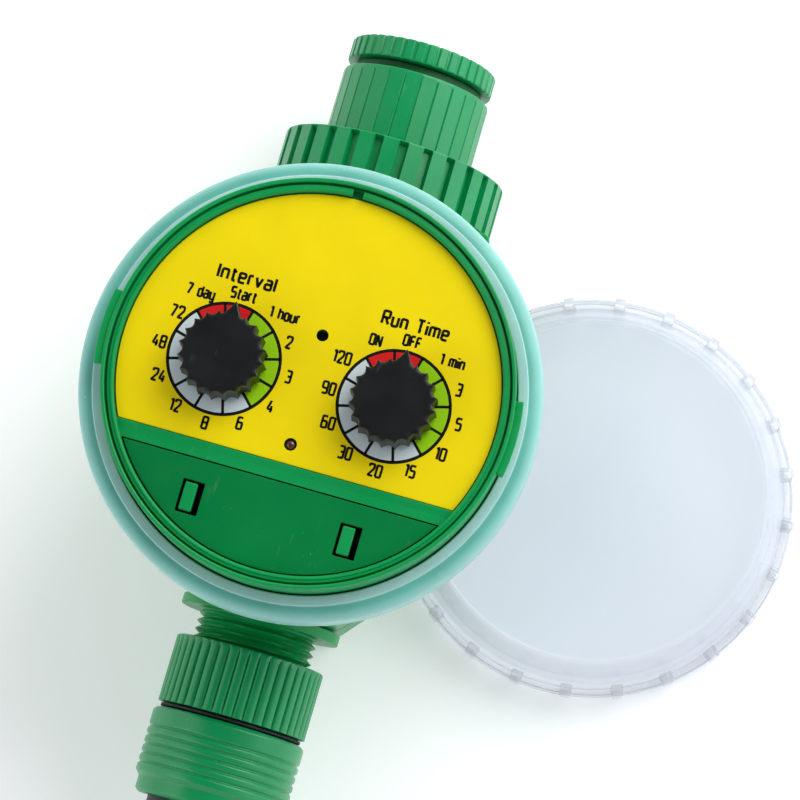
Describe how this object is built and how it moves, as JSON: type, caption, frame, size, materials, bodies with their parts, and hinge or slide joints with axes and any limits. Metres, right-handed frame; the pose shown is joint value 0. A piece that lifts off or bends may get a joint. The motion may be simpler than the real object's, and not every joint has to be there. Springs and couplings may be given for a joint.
{
  "type": "garden watering timer",
  "caption": "Battery garden tap timer with a round dial face, knurled tap adapters above, a hose quick connector below and a loose clear cover beside it.",
  "frame": {"origin": "centre of the flat back, under the middle of the round face", "axes": "+Z out of the face, +Y along the pipe towards the tap, +X to the right of the face"},
  "size_m": [0.1553, 0.1876, 0.088],
  "materials": {
    "green_plastic": "satin moulded",
    "dark_green_plastic": "satin moulded",
    "teal_shell": "frosted translucent",
    "yellow_label": "printed film",
    "black_plastic": "satin",
    "black_rubber": "matt",
    "white_plastic": "natural acetal",
    "clear_plastic": "clear moulded styrene",
    "steel": "plated",
    "brass": "machined",
    "board_green": "solder mask",
    "lamp_red": "clear tinted",
    "cell_skin": "plain sleeve"
  },
  "bodies": {
    "timer": {"back_cover": "green_plastic", "mid_housing": "green_plastic", "front_shell": "teal_shell", "rim_gasket": "black_rubber", "face_plate": "green_plastic", "dial_label": "yellow_label", "status_lamp": "lamp_red", "circuit_board": "board_green", "rotary_switch_left": "black_plastic", "rotary_switch_right": "black_plastic", "battery_box": "black_plastic", "cell_lower": "cell_skin", "cell_upper": "cell_skin", "contact_left": "steel", "contact_right": "steel", "valve_body": "green_plastic", "seat_inlet": "white_plastic", "seat_outlet": "white_plastic", "stem_o_ring": "black_rubber", "seat_retainer": "white_plastic", "filter_screen": "white_plastic", "gearbox_base": "white_plastic", "gearbox_cover": "white_plastic", "transfer_axle": "steel", "motor": "steel", "housing_screw_1": "steel", "housing_screw_2": "steel", "housing_screw_3": "steel", "housing_screw_4": "steel", "front_screw_1": "steel", "front_screw_2": "steel", "front_screw_3": "steel", "front_screw_4": "steel"},
    "dial_left": {"knob_left": "black_plastic", "switch_shaft_left": "white_plastic"},
    "dial_right": {"knob_right": "black_plastic", "switch_shaft_right": "white_plastic"},
    "valve_core": {"ball": "brass", "valve_stem": "white_plastic", "output_gear": "white_plastic"},
    "transfer": {"transfer_gear": "white_plastic"},
    "rotor": {"motor_pinion": "brass", "motor_shaft": "steel"},
    "door": {"battery_door": "dark_green_plastic"},
    "latch_left": {"latch_tab_left": "green_plastic"},
    "latch_right": {"latch_tab_right": "green_plastic"},
    "collar": {"inlet_collar": "green_plastic"},
    "reducer": {"inlet_reducer": "green_plastic", "collar_washer": "black_rubber"},
    "bush": {"inlet_bush": "green_plastic", "bush_washer": "black_rubber"},
    "outlet": {"outlet_nut": "green_plastic", "outlet_washer": "black_rubber", "buffer_washer": "black_rubber", "nipple_o_ring": "black_rubber"},
    "connector": {"connector_body": "black_plastic", "grip_ring": "white_plastic"},
    "sleeve": {"connector_sleeve": "green_plastic"},
    "hose_end": {"hose_nut": "green_plastic"},
    "cover": {"clear_cover": "clear_plastic"}
  },
  "joints": [
    {"name": "left_dial_turn", "type": "hinge", "parent": "timer", "child": "dial_left", "pos_m": [-0.01805, 0.0001, 0.084], "axis": [0, 0, -1], "continuous": true},
    {"name": "right_dial_turn", "type": "hinge", "parent": "timer", "child": "dial_right", "pos_m": [0.01805, 0.0001, 0.084], "axis": [0, 0, -1], "continuous": true},
    {"name": "valve_turn", "type": "hinge", "parent": "timer", "child": "valve_core", "pos_m": [0, 0, 0.027], "axis": [0, 0, 1], "range_deg": [0, 90]},
    {"name": "transfer_spin", "type": "hinge", "parent": "timer", "child": "transfer", "pos_m": [0.00893, 0.01065, 0.052], "axis": [0, 0, 1], "range_deg": [-330, 0]},
    {"name": "motor_spin", "type": "hinge", "parent": "timer", "child": "rotor", "pos_m": [0.00116, 0.01992, 0.055], "axis": [0, 0, 1], "range_deg": [0, 980]},
    {"name": "door_lift", "type": "slide", "parent": "timer", "child": "door", "axis": [0, 0, 1], "range_m": [0, 0.03]},
    {"name": "left_latch_press", "type": "slide", "parent": "door", "child": "latch_left", "axis": [0, 0, -1], "range_m": [0, 0.0014], "stiffness_N_per_m": 500},
    {"name": "right_latch_press", "type": "slide", "parent": "door", "child": "latch_right", "axis": [0, 0, -1], "range_m": [0, 0.0014], "stiffness_N_per_m": 500},
    {"name": "collar_turn", "type": "hinge", "parent": "timer", "child": "collar", "pos_m": [0, 0.054, 0.027], "axis": [0, 1, 0], "continuous": true},
    {"name": "reducer_turn", "type": "hinge", "parent": "collar", "child": "reducer", "pos_m": [0, 0.068, 0.027], "axis": [0, 1, 0], "continuous": true},
    {"name": "bush_turn", "type": "hinge", "parent": "reducer", "child": "bush", "pos_m": [0, 0.082, 0.027], "axis": [0, 1, 0], "continuous": true},
    {"name": "outlet_nut_turn", "type": "hinge", "parent": "timer", "child": "outlet", "pos_m": [0, -0.06, 0.027], "axis": [0, 1, 0], "continuous": true},
    {"name": "connector_swivel", "type": "hinge", "parent": "outlet", "child": "connector", "pos_m": [0, -0.08, 0.027], "axis": [0, 1, 0], "continuous": true},
    {"name": "sleeve_slide", "type": "slide", "parent": "connector", "child": "sleeve", "axis": [0, -1, 0], "range_m": [0, 0.003], "stiffness_N_per_m": 500},
    {"name": "hose_nut_turn", "type": "hinge", "parent": "connector", "child": "hose_end", "pos_m": [0, -0.097, 0.027], "axis": [0, 1, 0], "continuous": true},
    {"name": "cover_slide", "type": "slide", "parent": "timer", "child": "cover", "axis": [1, 0, 0], "range_m": [0, 0.08]}
  ],
  "couplings": [
    {"joint": "transfer_spin", "follows": "valve_turn", "ratio": -3.6},
    {"joint": "motor_spin", "follows": "valve_turn", "ratio": 10.8}
  ]
}
